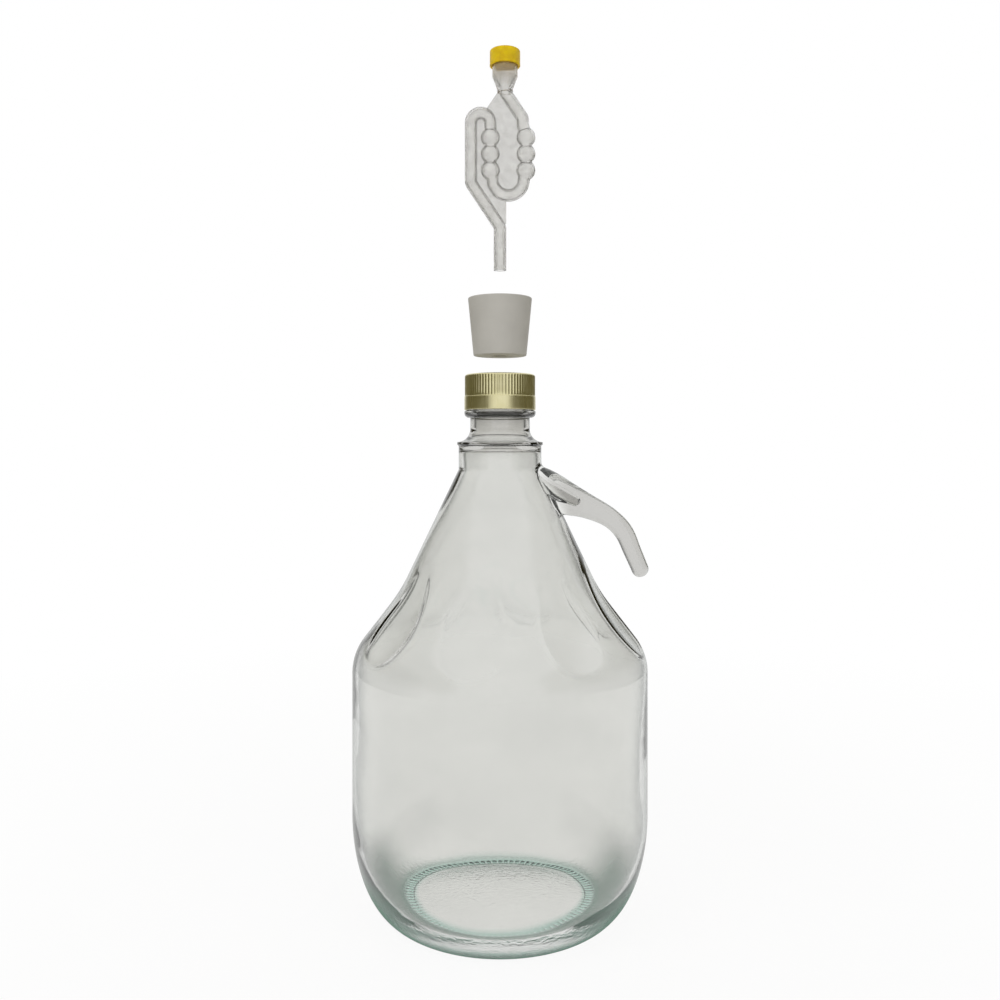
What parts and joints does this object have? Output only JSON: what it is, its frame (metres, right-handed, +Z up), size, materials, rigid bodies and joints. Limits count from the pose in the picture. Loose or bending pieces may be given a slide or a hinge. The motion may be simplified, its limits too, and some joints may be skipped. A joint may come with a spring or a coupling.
{
  "type": "fermentation jar with airlock",
  "caption": "Clear glass jug with hook handle and screw cap, with a one-hole rubber stopper and an S-shaped airlock with dust cap lifted above it.",
  "frame": {"origin": "centre of the flat ring that the jar stands on, on the jar's axis", "axes": "+Z up the jar's axis through the neck, stopper and airlock; +X towards the handle"},
  "size_m": [0.1875, 0.1868, 0.5466],
  "materials": {
    "jar_glass": "clear moulded glass with a faint green tint",
    "liner_foam": "pressed white foam",
    "insert_plastic": "moulded natural plastic",
    "gold_metal": "gold lacquered metal, satin",
    "stopper_rubber": "matt white rubber",
    "airlock_plastic": "clear moulded plastic",
    "dust_cap_plastic": "yellow moulded plastic"
  },
  "bodies": {
    "jar": {"jar": "jar_glass"},
    "cap_lift": {"cap_liner": "liner_foam"},
    "screw_cap": {"cap_insert": "insert_plastic", "cap_shell": "gold_metal"},
    "stopper": {"stopper": "stopper_rubber"},
    "airlock": {"airlock_front": "airlock_plastic", "airlock_back": "airlock_plastic"},
    "dust_cap": {"dust_cap": "dust_cap_plastic"}
  },
  "joints": [
    {"name": "cap_rise", "type": "slide", "parent": "jar", "child": "cap_lift", "axis": [0, 0, 1], "range_m": [0, 0.00605]},
    {"name": "cap_turn", "type": "hinge", "parent": "cap_lift", "child": "screw_cap", "pos_m": [0, 0, 0.3167], "axis": [0, 0, 1], "range_deg": [0, 540]},
    {"name": "stopper_slide", "type": "slide", "parent": "jar", "child": "stopper", "axis": [0, 0, 1], "range_m": [-0.0056, 0.02]},
    {"name": "airlock_slide", "type": "slide", "parent": "stopper", "child": "airlock", "axis": [0, 0, 1], "range_m": [-0.0427, 0.02]},
    {"name": "dust_cap_lift", "type": "slide", "parent": "airlock", "child": "dust_cap", "axis": [0, 0, 1], "range_m": [0, 0.02]}
  ],
  "couplings": [
    {"joint": "cap_rise", "follows": "cap_turn", "m_per_rad": 0.00063662}
  ]
}
